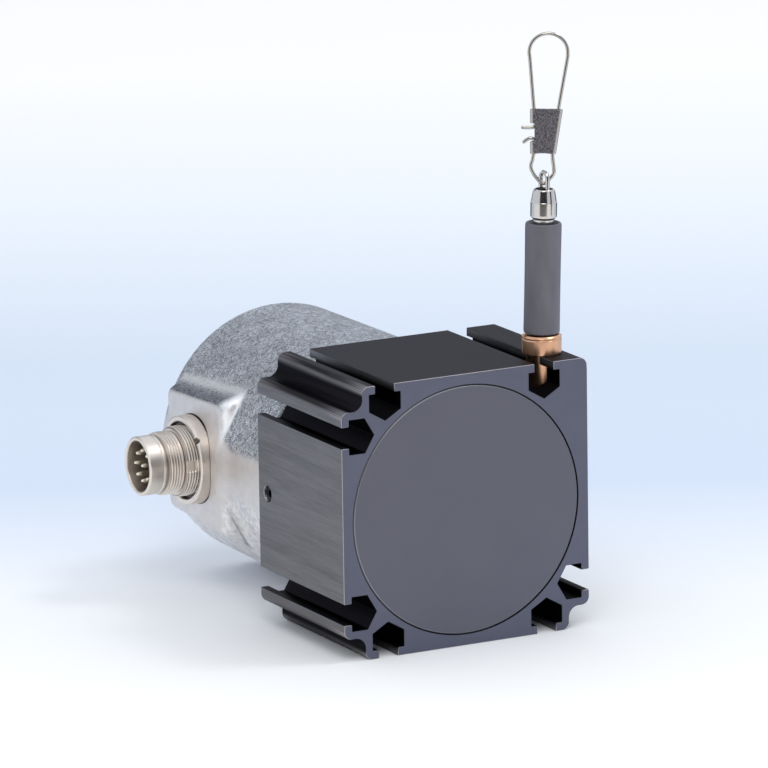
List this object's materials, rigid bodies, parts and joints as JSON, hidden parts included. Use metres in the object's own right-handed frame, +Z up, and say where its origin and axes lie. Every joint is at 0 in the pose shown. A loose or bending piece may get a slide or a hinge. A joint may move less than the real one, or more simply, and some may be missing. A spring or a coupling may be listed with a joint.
{
  "type": "draw wire encoder",
  "caption": "Draw wire encoder: square T-slot profile with a sprung wire drum, a round cast rotary encoder with a side connector, and a snap hook on the wire.",
  "frame": {"origin": "centre of the profile housing's underside", "axes": "+Z up, the way the wire is drawn out; +Y along the drum axis from the front cap to the encoder; the connector points along -X and the wire outlet is on the +X side"},
  "size_m": [0.083, 0.1016, 0.1476],
  "materials": {
    "black_anodised": "brushed and anodised black",
    "slate_anodised": "fine satin, anodised dark grey",
    "grey_casting": "fine sand texture, light grey",
    "bare_aluminium": "turned",
    "bright_steel": "ground",
    "dark_steel": "blackened",
    "spring_steel": "blued",
    "sheet_steel": "drawn sheet",
    "stainless_wire": "drawn wire",
    "nickel_wire": "bright nickel",
    "swivel_chrome": "bright",
    "copper_bronze": "turned",
    "cage_brass": "stamped",
    "standoff_brass": "turned",
    "ceramic": "polished",
    "black_seal": "matte",
    "felt_wiper": "felt",
    "grey_rubber": "satin, dark slate",
    "board_green": "solder resist",
    "ribbon_grey": "ribbed",
    "sensor_black": "moulded",
    "disc_glass": "clear with a dark code track",
    "connector_nickel": "satin nickel",
    "insert_brown": "moulded",
    "pin_gold": "gold plated"
  },
  "bodies": {
    "housing": {"profile_housing": "black_anodised", "front_cap": "slate_anodised", "cap_seal": "black_seal", "wire_nozzle": "copper_bronze", "nozzle_guide": "ceramic", "wire_wiper": "felt_wiper", "front_bearing_outer": "bright_steel", "rear_bearing_outer": "bright_steel", "bearing_plate": "bare_aluminium", "spring_case": "sheet_steel", "power_spring": "spring_steel", "clamp_screw": "dark_steel", "encoder_flange": "bare_aluminium", "flange_screws": "dark_steel", "housing_seal": "black_seal", "encoder_housing": "grey_casting", "encoder_bearing_outers": "bright_steel", "light_source": "sensor_black", "reading_head": "sensor_black", "sensor_board": "board_green", "main_board": "board_green", "lower_standoffs": "standoff_brass", "upper_standoffs": "standoff_brass", "board_screws": "bright_steel", "plug_board": "board_green", "ribbon_lead": "ribbon_grey", "connector_shell": "connector_nickel", "connector_ring": "connector_nickel", "connector_seal": "black_seal", "connector_insert": "insert_brown", "contact_pins": "pin_gold"},
    "drum": {"cable_drum": "bare_aluminium", "wire_winding": "stainless_wire", "drum_shaft": "bright_steel", "drum_screw": "dark_steel", "spring_arbor": "bright_steel", "shaft_circlips": "dark_steel", "front_bearing_inner": "bright_steel", "rear_bearing_inner": "bright_steel", "encoder_shaft": "bright_steel", "shaft_pin": "bright_steel", "encoder_bearing_inners": "bright_steel", "disc_hub": "bare_aluminium", "code_disc": "disc_glass"},
    "drum_cages": {"front_bearing_cage": "cage_brass", "rear_bearing_cage": "cage_brass"},
    "encoder_cages": {"encoder_bearing_cages": "cage_brass"},
    "wire_end": {"draw_wire": "stainless_wire", "rubber_sleeve": "grey_rubber", "wire_ferrule": "bright_steel", "swivel_barrel": "swivel_chrome"},
    "swivel": {"swivel_eye": "swivel_chrome"},
    "hook": {"snap_wire": "nickel_wire", "snap_clasp": "sheet_steel"}
  },
  "joints": [
    {"name": "wire_pull", "type": "slide", "parent": "housing", "child": "wire_end", "axis": [0, 0, 1], "range_m": [0, 1.5], "stiffness_N_per_m": 1.5, "springref_m": -4, "deforming": ["draw_wire"]},
    {"name": "drum_spin", "type": "hinge", "parent": "housing", "child": "drum", "pos_m": [0, 0, 0.034], "axis": [0, -1, 0], "range_deg": [0, 3200]},
    {"name": "drum_cage_spin", "type": "hinge", "parent": "housing", "child": "drum_cages", "pos_m": [0, 0, 0.034], "axis": [0, -1, 0], "range_deg": [0, 1280]},
    {"name": "encoder_cage_spin", "type": "hinge", "parent": "housing", "child": "encoder_cages", "pos_m": [0, 0, 0.034], "axis": [0, -1, 0], "range_deg": [0, 1280]},
    {"name": "swivel_turn", "type": "hinge", "parent": "wire_end", "child": "swivel", "pos_m": [0.02818, -0.01195, 0.10888], "axis": [0.0314, 0, 0.9995], "continuous": true},
    {"name": "hook_tilt", "type": "hinge", "parent": "swivel", "child": "hook", "pos_m": [0.02824, -0.01195, 0.11073], "axis": [0.8784, -0.4772, -0.0276], "range_deg": [-55, 55]}
  ],
  "couplings": [
    {"joint": "drum_spin", "follows": "wire_pull", "rad_per_m": 36.96},
    {"joint": "drum_cage_spin", "follows": "wire_pull", "rad_per_m": 14.784},
    {"joint": "encoder_cage_spin", "follows": "wire_pull", "rad_per_m": 14.784}
  ]
}
